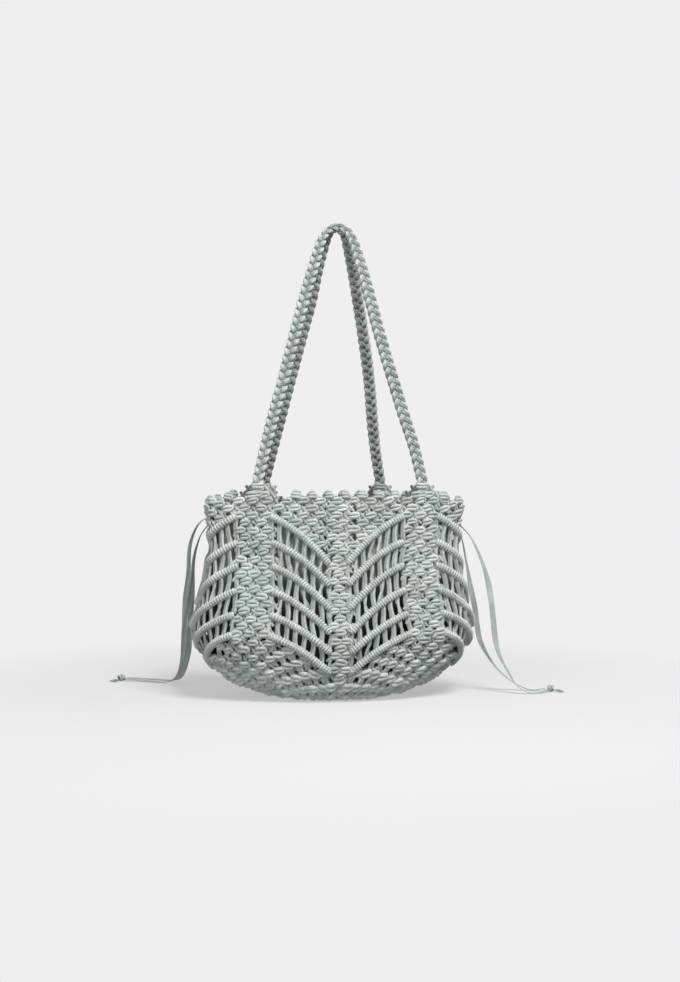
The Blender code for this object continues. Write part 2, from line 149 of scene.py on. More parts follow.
# Tape routes, as in the solids: x, y, z and heading of the width in degrees
TAPE_WIDTH = 0.0075
TAPE_ROUTES = {
    "ribbon_left_a": (
        (-0.144, -0.001, 0.214, 90), (-0.16, 0.0, 0.204, 80), (-0.169, 0.006, 0.179, 60),
        (-0.1715, 0.016, 0.143, 30), (-0.1745, 0.03, 0.106, 10), (-0.176, 0.046, 0.072, 15),
        (-0.177, 0.064, 0.04, 30), (-0.183, 0.09, 0.014, 45), (-0.196, 0.112, 0.0025, 50),
        (-0.218, 0.128, 0.001, 55), (-0.2491, 0.1392, 0.0035, 70),
    ),
    "ribbon_left_b": (
        (-0.143, 0.004, 0.207, 90), (-0.157, 0.013, 0.19, 90), (-0.1645, 0.024, 0.16, 60),
        (-0.1665, 0.036, 0.127, 30), (-0.168, 0.049, 0.098, 10), (-0.1695, 0.063, 0.07, 0),
        (-0.171, 0.08, 0.042, 20), (-0.176, 0.101, 0.016, 40), (-0.186, 0.123, 0.003, 50),
        (-0.208, 0.143, 0.001, 60), (-0.2482, 0.1472, 0.0035, 100),
    ),
    "ribbon_right_a": (
        (0.144, 0.003, 0.213, 90), (0.156, 0.004, 0.195, 90), (0.164, 0.004, 0.16, 60),
        (0.169, 0.004, 0.1284, 30), (0.1755, 0.005, 0.1, 10), (0.178, 0.005, 0.08, 10),
        (0.182, 0.005, 0.06, 30), (0.193, 0.006, 0.04, 60), (0.209, 0.006, 0.021, 80),
        (0.228, 0.004, 0.007, 85), (0.244, -0.001, 0.0012, 75), (0.2589, -0.0066, 0.0035, 55),
    ),
    "ribbon_right_b": (
        (0.146, -0.004, 0.2075, 90), (0.164, -0.008, 0.192, 80), (0.177, -0.01, 0.168, 50),
        (0.185, -0.012, 0.142, 30), (0.1905, -0.013, 0.115, 10), (0.1935, -0.014, 0.088, 0),
        (0.196, -0.015, 0.062, 20), (0.201, -0.016, 0.044, 50), (0.211, -0.018, 0.026, 70),
        (0.22, -0.021, 0.0105, 80), (0.234, -0.024, 0.0015, 90), (0.248, -0.0215, 0.001, 100),
        (0.2597, -0.0155, 0.0035, 125),
    ),
}
TAPE_EXIT_RISE = {"a": 0.887, "b": 0.870}
TAPE_EXIT_OFFSET = 0.0029
THREAD_RADIUS = 0.00022
TAPE_KNOTS = {
    "ribbon_knot_left": (-0.2545, 0.1427, 30),
    "ribbon_knot_right": (0.2647, -0.0108, -20),
}

rng = np.random.default_rng(SEED)


def unit(vectors):
    return vectors / np.linalg.norm(vectors, axis=-1, keepdims=True)


def new_object(name, data):
    item = bpy.data.objects.new(name, data)
    bpy.context.scene.collection.objects.link(item)
    return item


def running_length(path):
    """Length along a line of points, from its first one."""
    return np.concatenate([[0], np.cumsum(np.linalg.norm(np.diff(path, axis=0), axis=1))])


# Camera
def make_camera():
    azimuth = math.radians(CAMERA_AZIMUTH)
    data = bpy.data.cameras.new("camera")
    data.sensor_width = SENSOR_WIDTH
    data.lens = SENSOR_WIDTH * CAMERA_FOCAL_PIXELS / PHOTO_HEIGHT
    data.shift_x = (PHOTO_WIDTH / 2 - BAG_MIDDLE_PIXEL) / PHOTO_HEIGHT
    camera = new_object("camera", data)
    camera.location = (
        math.sin(azimuth) * CAMERA_DISTANCE,
        -math.cos(azimuth) * CAMERA_DISTANCE,
        CAMERA_HEIGHT,
    )
    camera.rotation_euler = (math.pi / 2, 0, azimuth)
    bpy.context.scene.camera = camera


make_camera()


# The wall's surface, as arrays over its turn (0 front, 0.25 right side) and height
TURN_STEPS = 640
HEIGHT_STEPS = 120
HEIGHT_POWER = 1.6
TOP = 0.270


def smooth_columns(rise):
    """All section columns at these rises, on smooth curves through the table's rows."""
    table = np.array(SECTIONS)
    at = table[:, 0]
    low = np.clip(np.searchsorted(at, rise, side="left") - 1, 0, len(at) - 2)
    last = len(at) - 1

    def slope(i):
        before = np.maximum(i - 1, 0)
        after = np.minimum(i + 1, last)
        return (table[after] - table[before]) / (at[after] - at[before])[:, None]

    span = (at[low + 1] - at[low])[:, None]
    t = ((rise - at[low]) / span[:, 0])[:, None]
    return (
        (2 * t**3 - 3 * t**2 + 1) * table[low]
        + (t**3 - 2 * t**2 + t) * span * slope(low)
        + (3 * t**2 - 2 * t**3) * table[low + 1]
        + (t**3 - t**2) * span * slope(low + 1)
    )


def quarter_outline(values, steps=96):
    """Outer wall from the middle of the front to the middle of the side, with its running length."""
    _, width, depth, power, fold, _ = values
    half_width, half_depth = width * BAG_WIDTH / 2, depth * BAG_DEPTH / 2
    fold = fold * GUSSET_FOLD
    t = np.linspace(0, 1, steps + 1)
    early = math.pi / 4 * (2 * t) ** (power / 2)
    late = math.pi / 2 - math.pi / 4 * (2 * (1 - t)) ** (power / 2)
    angle = np.where(t <= 0.5, early, late)
    across = np.sin(angle) ** (2 / power)
    ahead = np.maximum(np.cos(angle), 0) ** (2 / power)
    x = half_width * across - fold * across * np.maximum(1 - ahead**2, 0) ** 1.5
    x *= half_width / x.max()
    y = -ahead * half_depth
    lengths = np.concatenate([[0], np.cumsum(np.hypot(np.diff(x), np.diff(y)))])
    return x, y, lengths


def build_surface():
    heights = TOP * np.linspace(0, 1, HEIGHT_STEPS + 1) ** HEIGHT_POWER
    values = smooth_columns(np.minimum(heights / RIM_HEIGHT, 1.0))
    turn = np.arange(TURN_STEPS) / TURN_STEPS
    quarter = turn * 4
    index = quarter.astype(int) % 4
    part = quarter - np.floor(quarter)
    part = np.where(index % 2 == 1, 1 - part, part)
    side = np.where(index < 2, 1.0, -1.0)
    face = np.where((index == 0) | (index == 3), 1.0, -1.0)
    points = np.zeros((len(heights), TURN_STEPS, 3))
    lengths = np.zeros(len(heights))
    for i, row in enumerate(values):
        x, y, length = quarter_outline(row)
        front = row[5]
        in_side = front + (2 * part - 1) * (1 - front)
        share = np.where(part < 0.5, 2 * part * front, in_side)
        along = share * length[-1]
        points[i, :, 0] = side * np.interp(along, length, x)
        points[i, :, 1] = face * np.interp(along, length, y)
        points[i, :, 2] = heights[i]
        lengths[i] = length[-1]
    along = np.roll(points, -2, 1) - np.roll(points, 2, 1)
    up = np.gradient(points, axis=0)
    return heights, points, unit(np.cross(along, up)), lengths, values[:, 5]


HEIGHTS, POINTS, NORMALS, QUARTERS, FRONTS = build_surface()


def read_grid(grid, turn, height):
    column = (turn % 1.0) * TURN_STEPS
    row = HEIGHT_STEPS * np.clip(height / TOP, 0, 1) ** (1 / HEIGHT_POWER)
    c0 = np.floor(column).astype(int)
    r0 = np.minimum(np.floor(row).astype(int), HEIGHT_STEPS - 1)
    fc = (column - c0)[..., None]
    fr = (row - r0)[..., None]
    c0 %= TURN_STEPS
    c1 = (c0 + 1) % TURN_STEPS
    upper = grid[r0 + 1, c0] * (1 - fc) + grid[r0 + 1, c1] * fc
    lower = grid[r0, c0] * (1 - fc) + grid[r0, c1] * fc
    return lower * (1 - fr) + upper * fr


def surface(turn, height):
    """Points and outward normals of the outer wall."""
    return read_grid(POINTS, turn, height), unit(read_grid(NORMALS, turn, height))


def scales(turn, height):
    """Metres along the wall for one whole turn, and for one metre of height."""
    step_turn, step_height = 0.002, 0.0015
    low = np.maximum(height - step_height, 0)
    after = read_grid(POINTS, turn + step_turn, height)
    across = after - read_grid(POINTS, turn - step_turn, height)
    up = read_grid(POINTS, turn, low + 2 * step_height) - read_grid(POINTS, turn, low)
    return (
        np.linalg.norm(across, axis=-1) / (2 * step_turn),
        np.linalg.norm(up, axis=-1) / (2 * step_height),
    )


def half_share(turn):
    """0 at a V's middle, 1 at the middle of the band between two Vs."""
    along = (turn * 4) % 1.0
    return 2 * np.minimum(along, 1 - along)


def ridge_height(index, turn):
    """Height of this ridge's middle line, level beyond its ends."""
    upper, lower = RIDGES[index]
    share = np.clip((half_share(turn) - CHEVRON_START) / (CHEVRON_END - CHEVRON_START), 0, 1)
    bowed = share + RIDGE_BOW * share * (1 - share)
    return (lower + (upper - lower) * bowed) * RIM_HEIGHT


def rim_height(turn):
    """Height of the rim, which dips at the sides."""
    quarter = (turn % 0.5) * 4
    side = 1 - np.abs(quarter - 1)
    t = np.clip((side - DIP_START) / (DIP_END - DIP_START), 0, 1)
    return RIM_HEIGHT - RIM_DIP * (3 * t**2 - 2 * t**3)


def turn_of_arc(arc, face, side, height):
    """Turn of the point this far along the wall from the middle of the front (face 1) or back (-1)."""
    quarter = np.interp(height, HEIGHTS, QUARTERS)
    front = np.interp(height, HEIGHTS, FRONTS)
    share = np.clip(arc / quarter, 0, 1)
    in_side = 0.5 + (share - front) / (2 * (1 - front))
    part = np.where(share < front, share / (2 * front), in_side)
    turn = side * part / 4
    return np.where(face > 0, turn, 0.5 - turn)


# Meshes from tubes. A tube's UV runs along it in metres and once round it.
class Shape:
    """Collects points, faces, UVs and each point's painted shade: a colour factor for how open the
    point lies to the light, 0 to 1.
    """

    def __init__(self):
        self.points = []
        self.faces = []
        self.uvs = []
        self.shades = []
        self.count = 0

    def add(self, points, faces, uvs, shade=1.0):
        self.points.append(points)
        self.faces.append(faces + self.count)
        self.uvs.append(uvs)
        self.shades.append(np.broadcast_to(np.asarray(shade, float), len(points)))
        self.count += len(points)

    def arrays(self):
        parts = (self.points, self.faces, self.uvs, self.shades)
        return tuple(np.concatenate(part) for part in parts)


def depth_shade(depth):
    """Painted shade: cord deep in the knotting is painted darker, full colour near the surface, darkest
    4 mm under it.
    """
    open_depth, fade, darkest = 0.0012, 0.0046, 0.24
    return np.clip(1 + (depth + open_depth) / fade, darkest, 1.0)


def circle(angle, a, b):
    """Unit rings in the planes of the paired directions a and b."""
    return np.cos(angle)[None, :, None] * a[:, None] + np.sin(angle)[None, :, None] * b[:, None]


def tube_rings(path, radius, sides, flatten=1.0, frame_hint=(0, 0, 1)):
    """Ring points round a path, with ends drawn in. flatten scales the ring along the hint."""
    path = np.asarray(path, float)
    radius = np.broadcast_to(np.asarray(radius, float), len(path))
    along = unit(np.gradient(path, axis=0))
    hint = np.broadcast_to(np.asarray(frame_hint, float), path.shape)
    a = np.cross(along, hint)
    a /= np.linalg.norm(a, axis=1, keepdims=True) + 1e-12
    b = np.cross(a, along) * flatten
    angle = np.arange(sides) / sides * 2 * math.pi
    ring = circle(angle, a, b)
    return path[:, None] + ring * radius[:, None, None]


def tube_faces(rings, path):
    """Faces and UVs of rings of points, joined one to the next."""
    count, sides, _ = rings.shape
    i, j = np.meshgrid(np.arange(count - 1), np.arange(sides), indexing="ij")
    k = (j + 1) % sides
    this, after = i * sides, (i + 1) * sides
    faces = np.stack([this + j, this + k, after + k, after + j], -1)
    length = running_length(path)
    u0, u1 = length[i], length[i + 1]
    v0, v1 = j / sides, (j + 1) / sides
    corners = ((u0, v0), (u0, v1), (u1, v1), (u1, v0))
    uvs = np.stack([np.stack(corner, -1) for corner in corners], -2)
    return faces.reshape(-1, 4), uvs.reshape(-1, 4, 2)


def add_tube(shape, path, radius, sides=6, flatten=1.0, hint=(0, 0, 1), shade=1.0):
    """Adds a closed tube along the path to the shape, shaded in one or ring by ring."""
    path = np.asarray(path, float)
    rings = tube_rings(path, radius, sides, flatten, hint)
    faces, uvs = tube_faces(rings, path)
    if not np.isscalar(shade):
        shade = np.repeat(shade, sides)
    shape.add(rings.reshape(-1, 3), faces, uvs, shade)


def smooth_path(points, steps):
    """Points on a smooth curve through the given ones."""
    points = np.asarray(points, float)
    padded = np.vstack([2 * points[0] - points[1], points, 2 * points[-1] - points[-2]])
    a, b, c, d = padded[:-3, None], padded[1:-2, None], padded[2:-1, None], padded[3:, None]
    t = (np.arange(steps) / steps)[None, :, None]
    curve = 0.5 * (
        2 * b
        + (c - a) * t
        + (2 * a - 5 * b + 4 * c - d) * t**2
        + (3 * b - a - 3 * c + d) * t**3
    )
    return np.vstack([curve.reshape(-1, points.shape[1]), points[-1:]])


def flat(array, kind=np.float32):
    return np.ascontiguousarray(array, kind).ravel()


def make_piece(name, points, faces, uvs, shades, material, slot, replaces=()):
    """One piece of the look, riding the bag's only body."""
    mesh = bpy.data.meshes.new(name)
    mesh.vertices.add(len(points))
    mesh.vertices.foreach_set("co", flat(points))
    mesh.loops.add(faces.size)
    mesh.loops.foreach_set("vertex_index", flat(faces, np.int32))
    mesh.polygons.add(len(faces))
    starts = np.arange(0, faces.size, faces.shape[1], dtype=np.int32)
    mesh.polygons.foreach_set("loop_start", starts)
    mesh.polygons.foreach_set("use_smooth", np.ones(len(faces), bool))
    mesh.update(calc_edges=True)
    layer = mesh.uv_layers.new(name="cord")
    layer.data.foreach_set("uv", flat(uvs))
    # Each point's painted shade, as a colour factor that the materials read
    painted_shade_attribute = mesh.attributes.new("shade", "FLOAT", "POINT")
    painted_shade_attribute.data.foreach_set("value", flat(shades))
    mesh.materials.append(material)
    piece = new_object(name, mesh)
    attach(piece, "root")
    if replaces:
        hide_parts(*replaces)
    return piece


# Materials
class Nodes:
    """Short helper for building a node tree."""

    def __init__(self, name):
        self.material = bpy.data.materials.new(name)
        self.material.use_nodes = True
        self.tree = self.material.node_tree
        self.shader = self.tree.nodes["Principled BSDF"]

    def add(self, kind, **values):
        node = self.tree.nodes.new(kind)
        for key, value in values.items():
            setattr(node, key, value)
        return node

    def link(self, a, b):
        self.tree.links.new(a, b)

    def fill(self, node, values):
        """Sets or links the node's inputs, given by name or number."""
        for key, value in values.items():
            socket = node.inputs[key]
            if isinstance(value, (int, float)):
                socket.default_value = value
            elif isinstance(value, tuple):
                socket.default_value = (*value, 1)
            elif value is not None:
                self.link(value, socket)

    def math(self, operation, a, b=None, clamp=False):
        node = self.add("ShaderNodeMath", operation=operation, use_clamp=clamp)
        self.fill(node, {0: a, 1: b})
        return node.outputs[0]

    def noise(self, scale, detail, vector, roughness=0.55):
        node = self.add("ShaderNodeTexNoise")
        self.fill(node, {"Scale": scale, "Detail": detail, "Roughness": roughness, "Vector": vector})
        return node.outputs[0]

    def ramp(self, value, stops):
        node = self.add("ShaderNodeValToRGB")
        elements = node.color_ramp.elements
        while len(elements) < len(stops):
            elements.new(0.5)
        for element, (position, colour) in zip(elements, stops):
            element.position = position
            element.color = (*colour, 1)
        self.link(value, node.inputs[0])
        return node.outputs[0]

    def mix(self, amount, a, b, blend="MIX"):
        node = self.add("ShaderNodeMix", data_type="RGBA", blend_type=blend)
        self.fill(node, {0: amount, 6: a, 7: b})
        return node.outputs[2]

    def bump(self, height, strength, distance):
        node = self.add("ShaderNodeBump")
        self.fill(node, {"Strength": strength, "Distance": distance, "Height": height})
        self.fill(self.shader, {"Normal": node.outputs[0]})


def shaded(n, colour):
    """The colour times each point's painted shade: darker where the piece lies deep in the knotting."""
    painted_shade_attribute = n.add("ShaderNodeAttribute", attribute_name="shade")
    return n.mix(1.0, colour, painted_shade_attribute.outputs["Color"], "MULTIPLY")


def cord_material():
    """Braided cotton cord: small crossing strands, a mottled pale green grey, soft fuzz."""
    n = Nodes("cord_knitted")
    coordinates = n.add("ShaderNodeTexCoord")
    uv = n.add("ShaderNodeSeparateXYZ")
    n.link(coordinates.outputs["UV"], uv.inputs[0])
    along = n.math("MULTIPLY", uv.outputs[0], 2 * math.pi / CORD_STITCH)
    round_it = n.math("MULTIPLY", uv.outputs[1], 2 * math.pi * CORD_STITCHES_ROUND)
    one = n.math("SINE", n.math("ADD", along, round_it))
    other = n.math("SINE", n.math("SUBTRACT", along, round_it))
    braid = n.math("MAXIMUM", one, other)
    position = coordinates.outputs["Object"]
    fuzz = n.noise(1500, 3, position, 0.7)
    patches = n.noise(75, 4, position, 0.65)
    tint = n.noise(23, 2, position)
    height = n.math("ADD", n.math("MULTIPLY", braid, 0.35), n.math("MULTIPLY", fuzz, 1.1))
    greens = (
        (0.34, (0.60, 0.655, 0.63)),
        (0.50, (0.75, 0.80, 0.775)),
        (0.66, (0.90, 0.925, 0.905)),
    )
    base = n.ramp(patches, greens)
    warm = n.ramp(tint, ((0.40, (0.96, 1.0, 0.985)), (0.62, (1.0, 0.975, 0.975))))
    # Painted shade in the hollows of the braid and its fuzz, and a painted highlight on their crests
    braid_painted_shade = n.ramp(height, ((0.38, (0.44, 0.47, 0.465)), (0.86, (1.08, 1.08, 1.08))))
    colour = n.mix(1.0, n.mix(1.0, base, warm, "MULTIPLY"), braid_painted_shade, "MULTIPLY")
    n.fill(n.shader, {"Base Color": shaded(n, colour), "Roughness": 0.86, "Sheen Weight": 0.12})
    n.fill(n.shader, {"Sheen Roughness": 0.5, "Specular IOR Level": 0.25})
    n.bump(height, 0.7, 0.0007)
    return n.material


def cloth_material(name, dark, light, pitch, strength):
    """Plain woven cloth with a fine crossing of threads."""
    n = Nodes(name)
    coordinates = n.add("ShaderNodeTexCoord")
    uv = n.add("ShaderNodeSeparateXYZ")
    n.link(coordinates.outputs["UV"], uv.inputs[0])
    warp = n.math("SINE", n.math("MULTIPLY", uv.outputs[0], 2 * math.pi / pitch))
    weft = n.math("SINE", n.math("MULTIPLY", uv.outputs[1], 2 * math.pi / pitch))
    weave = n.math("ADD", n.math("MULTIPLY", warp, 0.5), n.math("MULTIPLY", weft, 0.5))
    position = coordinates.outputs["Object"]
    patches = n.noise(60, 4, position)
    slubs = n.noise(700, 2, position)
    height = n.math("ADD", n.math("MULTIPLY", weave, 0.5), n.math("MULTIPLY", slubs, 0.6))
    base = n.ramp(patches, ((0.3, dark), (0.7, light)))
    # Painted shade between the threads of the weave
    shade = n.ramp(height, ((0.1, (0.80, 0.82, 0.81)), (0.8, (1.0, 1.0, 1.0))))
    colour = shaded(n, n.mix(0.7, base, shade, "MULTIPLY"))
    n.fill(n.shader, {"Base Color": colour, "Roughness": 0.72, "Sheen Weight": 0.2})
    n.bump(height, strength, 0.0004)
    return n.material


CORD = cord_material()
LINING = cloth_material(
    "cloth_lining", dark=(0.66, 0.77, 0.72), light=(0.84, 0.91, 0.87), pitch=0.0009, strength=0.25
)
TAPE = cloth_material(
    "cloth_tape", dark=(0.44, 0.50, 0.48), light=(0.62, 0.68, 0.66), pitch=0.0007, strength=0.4
)


# Drawstring tapes
def tape_route(name):
    """The tape's points, from where it leaves the side seam."""
    side_turn = 0.75 if "left" in name else 0.25
    height = TAPE_EXIT_RISE[name[-1]] * RIM_HEIGHT
    point, normal = surface(np.array([side_turn]), np.array([height]))
    start = point[0] + normal[0] * TAPE_EXIT_OFFSET
    return [(start[0], start[1], height, 90), *TAPE_ROUTES[name]]


def build_tape(name):
    """A flat woven tape, a little cupped, with a few lengthwise creases."""
    stations = smooth_path(tape_route(name), 8)
    path = stations[:, :3]
    heading = np.radians(stations[:, 3])
    along = unit(np.gradient(path, axis=0))
    across = np.stack([np.cos(heading), np.sin(heading), np.zeros(len(heading))], 1)
    across -= along * np.sum(across * along, 1, keepdims=True)
    across = unit(across)
    normal = np.cross(across, along)
    half_thickness = 0.00032
    outline = []
    for side in (1, -1):
        for step in range(-4, 5):
            lateral = step / 4 * side * TAPE_WIDTH / 2
            outline.append((lateral, side * half_thickness))
    outline = np.array(outline)
    run = running_length(path)
    crease = 0.00055 * np.sin(run[:, None] / 0.013 + outline[None, :, 0] / TAPE_WIDTH * 5)
    lift = crease * np.clip((path[:, 2:3] - 0.004) / 0.01, 0, 1)
    narrow = 1 - 0.16 * np.sin(run / 0.021 + len(name)) ** 2
    rings = (
        path[:, None]
        + across[:, None] * (outline[None, :, 0] * narrow[:, None])[..., None]
        + normal[:, None] * (outline[None, :, 1] + lift)[..., None]
    )
    rings[..., 2] = np.maximum(rings[..., 2], FLOOR)
    faces, uvs = tube_faces(rings, path)
    uvs[..., 1] *= 2 * TAPE_WIDTH
    points = rings.reshape(-1, 3)
    shades = np.ones(len(points))
    piece = make_piece(name + "_tape", points, faces, uvs, shades, TAPE, "drawstring_tape", (name,))
    return piece, path, float(run[-1])


def build_tape_knot(name):
    """An overhand knot: three folds of tape wound over each other, and the frayed ends beyond it."""
    x, y, heading = TAPE_KNOTS[name]
    shape = Shape()
    turn = math.radians(heading)
    outward = 1 if x > 0 else -1
    local_x = np.array([math.cos(turn), math.sin(turn), 0]) * outward
    local_y = np.array([-math.sin(turn), math.cos(turn), 0])
    up = np.array([0, 0, 1.0])
    centre = np.array([x, y, 0.0043])
    folds = ((-0.0024, 0.5, 0.0038), (0.0002, -0.6, 0.0043), (0.0026, 0.35, 0.0036))
    for k, (offset, tilt, size) in enumerate(folds):
        angle = np.linspace(0, 2 * math.pi, 22)
        path = (
            centre
            + local_x * (offset + 0.0016 * tilt * np.sin(angle))[:, None]
            + local_y * (np.cos(angle) * size)[:, None]
            + up * (np.sin(angle) * (size - 0.0008))[:, None]
        )
        add_tube(shape, path, 0.0014 + 0.0002 * k, 8, 0.6, up)
    for side in (-1, 1):
        for strand in range(26):
            spread = side * 0.0022 + rng.normal(0, 0.0014)
            length = rng.uniform(0.008, 0.0135)
            t = np.linspace(0, 1, 5)
            sideways = side * 0.0012 + (spread + rng.normal(0, 0.001)) * t**0.8
            rise = -0.0020 - 0.0018 * t + 0.0016 * rng.uniform(0, 1) * np.sin(t * 3)
            path = (
                centre
                + local_x * (0.003 + t * length)[:, None]
                + local_y * sideways[:, None]
                + up * rise[:, None]
            )
            add_tube(shape, path, THREAD_RADIUS, 3)
    points, *rest = shape.arrays()
    points[:, 2] = np.maximum(points[:, 2], FLOOR)
    return make_piece(name + "_tied", points, *rest, TAPE, "drawstring_tape", (name,))


def build_tapes():
    knots = {side: build_tape_knot("ribbon_knot_" + side) for side in ("left", "right")}
    for name in TAPE_ROUTES:
        piece, path, length = build_tape(name)


build_tapes()


# Square knots
def knot_template(row_pitch):
    """One square knot: two plump bars, the lobe where they turn back at the right, and the cords
    that spread to the two knots of the next row. x along, y up, z out of the wall, all in mm."""
    shape = Shape()
    upper = (
        (-6.2, 0.5, -4.4), (-5.5, 1.0, -2.5), (-3.4, 1.7, -1.1),
        (-0.2, 2.2, -0.4), (2.8, 2.4, -0.7), (4.6, 2.0, -1.9),
    )
    lower = (
        (-6.0, -1.9, -4.4), (-5.3, -2.4, -2.6), (-3.0, -2.4, -1.0),
        (0.3, -2.0, -0.7), (3.0, -1.4, -1.2), (4.5, -0.7, -2.2),
    )
    fat = (1.3, 1.8, 2.05, 2.1, 2.0, 1.6)
    add_tube(shape, upper, fat, 8)
    add_tube(shape, lower, fat, 8)
    lobe = ((2.6, 3.1, -3.4), (4.3, 2.6, -1.5), (5.4, 0.4, -0.5), (4.6, -2.0, -1.3), (3.0, -3.2, -3.2))
    add_tube(shape, lobe, (1.3, 1.75, 1.9, 1.7, 1.3), 8)
    reach = row_pitch / MM
    for side in (-1, 1):
        for start, end in ((1.6, 5.2), (4.4, 8.6)):
            path = (
                (side * start, -2.2, -3.0),
                (side * (start + end) / 2, -reach * 0.50, -2.3),
                (side * end, -reach * 0.86, -3.4),
            )
            add_tube(shape, path, 1.75, 6)
    core = ((0.0, 5.2, -4.6), (0.0, 0.0, -4.9), (0.0, -5.2, -4.6))
    add_tube(shape, core, 2.2, 5)
    for lean, depth in ((1, -2.5), (-1, -3.1)):
        crossing = (
            (10.1 - 2.9 * lean, 3.6, depth - 0.8),
            (10.1, 0.1, depth),
            (10.1 + 2.9 * lean, -3.6, depth - 0.8),
        )
        add_tube(shape, crossing, 1.7, 6)
    points, faces, uvs, _ = shape.arrays()
    points = points * MM
    # Painted shade: cord deeper in the knot is painted darker
    return points, faces, uvs * np.array([MM, 1]), depth_shade(points[:, 2])


def place_on_wall(template, turn, height, tilt=None, size=None, lift=None, stand=None):
    """Copies of a template laid on the wall, each bent along it and each raised off the ground.
    stand makes a copy taller about its own middle, where the wall turns under the bag."""
    points, faces, uvs, shades = template
    count = len(turn)
    tilt = np.zeros(count) if tilt is None else tilt
    size = np.ones(count) if size is None else size
    lift = np.zeros(count) if lift is None else lift
    x = points[None, :, 0] * size[:, None]
    y = points[None, :, 1] * size[:, None]
    cos, sin = np.cos(tilt)[:, None], np.sin(tilt)[:, None]
    x, y = x * cos - y * sin, x * sin + y * cos
    per_turn, per_height = scales(turn, height)
    turns = turn[:, None] + x / per_turn[:, None]
    heights = height[:, None] + y / per_height[:, None]
    point, normal = surface(turns, heights)
    placed = point + normal * (points[None, :, 2] + lift[:, None])[..., None]
    if stand is not None:
        placed[..., 2] = height[:, None] + (placed[..., 2] - height[:, None]) * stand[:, None]
    placed[..., 2] += np.maximum(FLOOR - placed[..., 2].min(axis=1, keepdims=True), 0)
    offsets = np.arange(count)[:, None, None] * len(points)
    along = rng.uniform(0, 1, count)[:, None, None, None] * np.array([1.0, 0.0])
    tone_and_painted_shade = rng.normal(0.97, 0.08, count)[:, None]
    return (
        placed.reshape(-1, 3),
        (faces[None] + offsets).reshape(-1, 4),
        (uvs[None] + along).reshape(-1, 4, 2),
        (shades[None] * tone_and_painted_shade).ravel(),
    )


def jitter(count, amount):
    return rng.normal(0, amount, count)


def upper_knots():
    """Turns and heights of the knots above the first ridge, in the V's middle and between the Vs."""
    found = []
    rows = int(RIM_HEIGHT / ROW_PITCH) + 1
    for row in range(rows):
        for k in range(KNOTS_ROUND):
            turn = (k + 0.5 * (row % 2)) / KNOTS_ROUND
            height = float(rim_height(np.array(turn))) - ROW_PITCH * (row + 0.5)
            half = float(half_share(np.array(turn)))
            first = float(ridge_height(0, np.array(turn)))
            last = float(ridge_height(len(RIDGES) - 1, np.array(turn)))
            in_slope = FOOT_COLUMN < half < HEAD_COLUMN
            if in_slope and height < first + 0.0062:
                continue
            if height < last - 0.005:
                continue
            found.append((turn, height))
            # The knots in the outermost column keep clear of the ridges' ends.
            if min(abs(half - CHEVRON_START), abs(half - CHEVRON_END)) < 0.01:
                shift = FOOT_SHIFT if half < 0.5 else HEAD_SHIFT
                found[-1] = (turn + shift * (1 if (turn * 4) % 1.0 < 0.5 else -1), height)
    return np.array(found)


def lower_knots():
    """Knots under the last ridge. They keep their pitch, so the outer columns end at the sides."""
    found = []
    widest_arc = 0.212
    columns = int(widest_arc / (KNOT_PITCH / 2))
    for face in (1, -1):
        for side in (1, -1):
            for column in range(0 if side > 0 else 1, columns + 1):
                arc = column * KNOT_PITCH / 2
                heights = np.linspace(0.105, 0.0, 160)
                turns = turn_of_arc(arc, face, side, heights)
                below = heights < ridge_height(len(RIDGES) - 1, turns) - 0.004
                inside = arc < np.interp(heights, HEIGHTS, QUARTERS) - 0.004
                run = running_length(read_grid(POINTS, turns, heights))
                if not (below & inside).any():
                    continue
                start = run[np.argmax(below)]
                offset = LOWER_ROW_PITCH * (0.42 if column % 2 == 0 else 1.42)
                at = start + offset
                while at < run[-1] + 0.001:
                    height = float(np.interp(at, run, heights))
                    if arc < np.interp(height, HEIGHTS, QUARTERS) - 0.003:
                        found.append((float(turn_of_arc(arc, face, side, height)) % 1.0, height))
                    at += 2 * LOWER_ROW_PITCH
    return np.array(found)


def build_knots():
    """Square knots of the upper and lower zones, front and back apart."""
    dense = knot_template(ROW_PITCH)
    places = upper_knots()
    turn, height = places[:, 0], places[:, 1]
    front = np.cos(turn * 2 * math.pi) >= 0
    for name, chosen in (("upper_knots_front", front), ("upper_knots_back", ~front)):
        count = int(chosen.sum())
        arrays = place_on_wall(
            dense,
            turn[chosen] + jitter(count, 0.0005),
            height[chosen] + jitter(count, 0.0004),
            jitter(count, 0.12),
            1 + jitter(count, 0.055),
            jitter(count, 0.0004),
        )
        make_piece(name, *arrays, CORD, "cotton_cord", ("macrame_body",) if "front" in name else ())
    loose = knot_template(LOWER_ROW_PITCH * 1.1)
    places = lower_knots()
    turn, height = places[:, 0], places[:, 1]
    step, metres_per_turn, last = 0.01, 0.8, len(RIDGES) - 1
    rise = ridge_height(last, turn + step) - ridge_height(last, turn - step)
    slope = rise / (2 * step * metres_per_turn)
    fade = np.clip(height / np.maximum(ridge_height(last, turn), 0.01), 0, 1)
    front = np.cos(turn * 2 * math.pi) >= 0
    for name, chosen in (("lower_knots_front", front), ("lower_knots_back", ~front)):
        count = int(chosen.sum())
        arrays = place_on_wall(
            loose,
            turn[chosen],
            height[chosen] + jitter(count, 0.0004),
            np.arctan(slope[chosen] * 0.5) * fade[chosen] + jitter(count, 0.12),
            1.04 + jitter(count, 0.05),
            jitter(count, 0.0004),
            1 + 0.8 * np.clip(1 - height[chosen] / 0.045, 0, 1),
        )
        # Painted light: the knots nearest the ground are painted lighter
        painted_light = 1 + LOW_KNOT_PAINTED_LIGHT * np.clip(1 - height[chosen] / LOW_KNOT_TOP, 0, 1)
        shades = arrays[3] * np.repeat(painted_light, len(loose[0]))
        make_piece(name, *arrays[:3], shades, CORD, "cotton_cord")


build_knots()


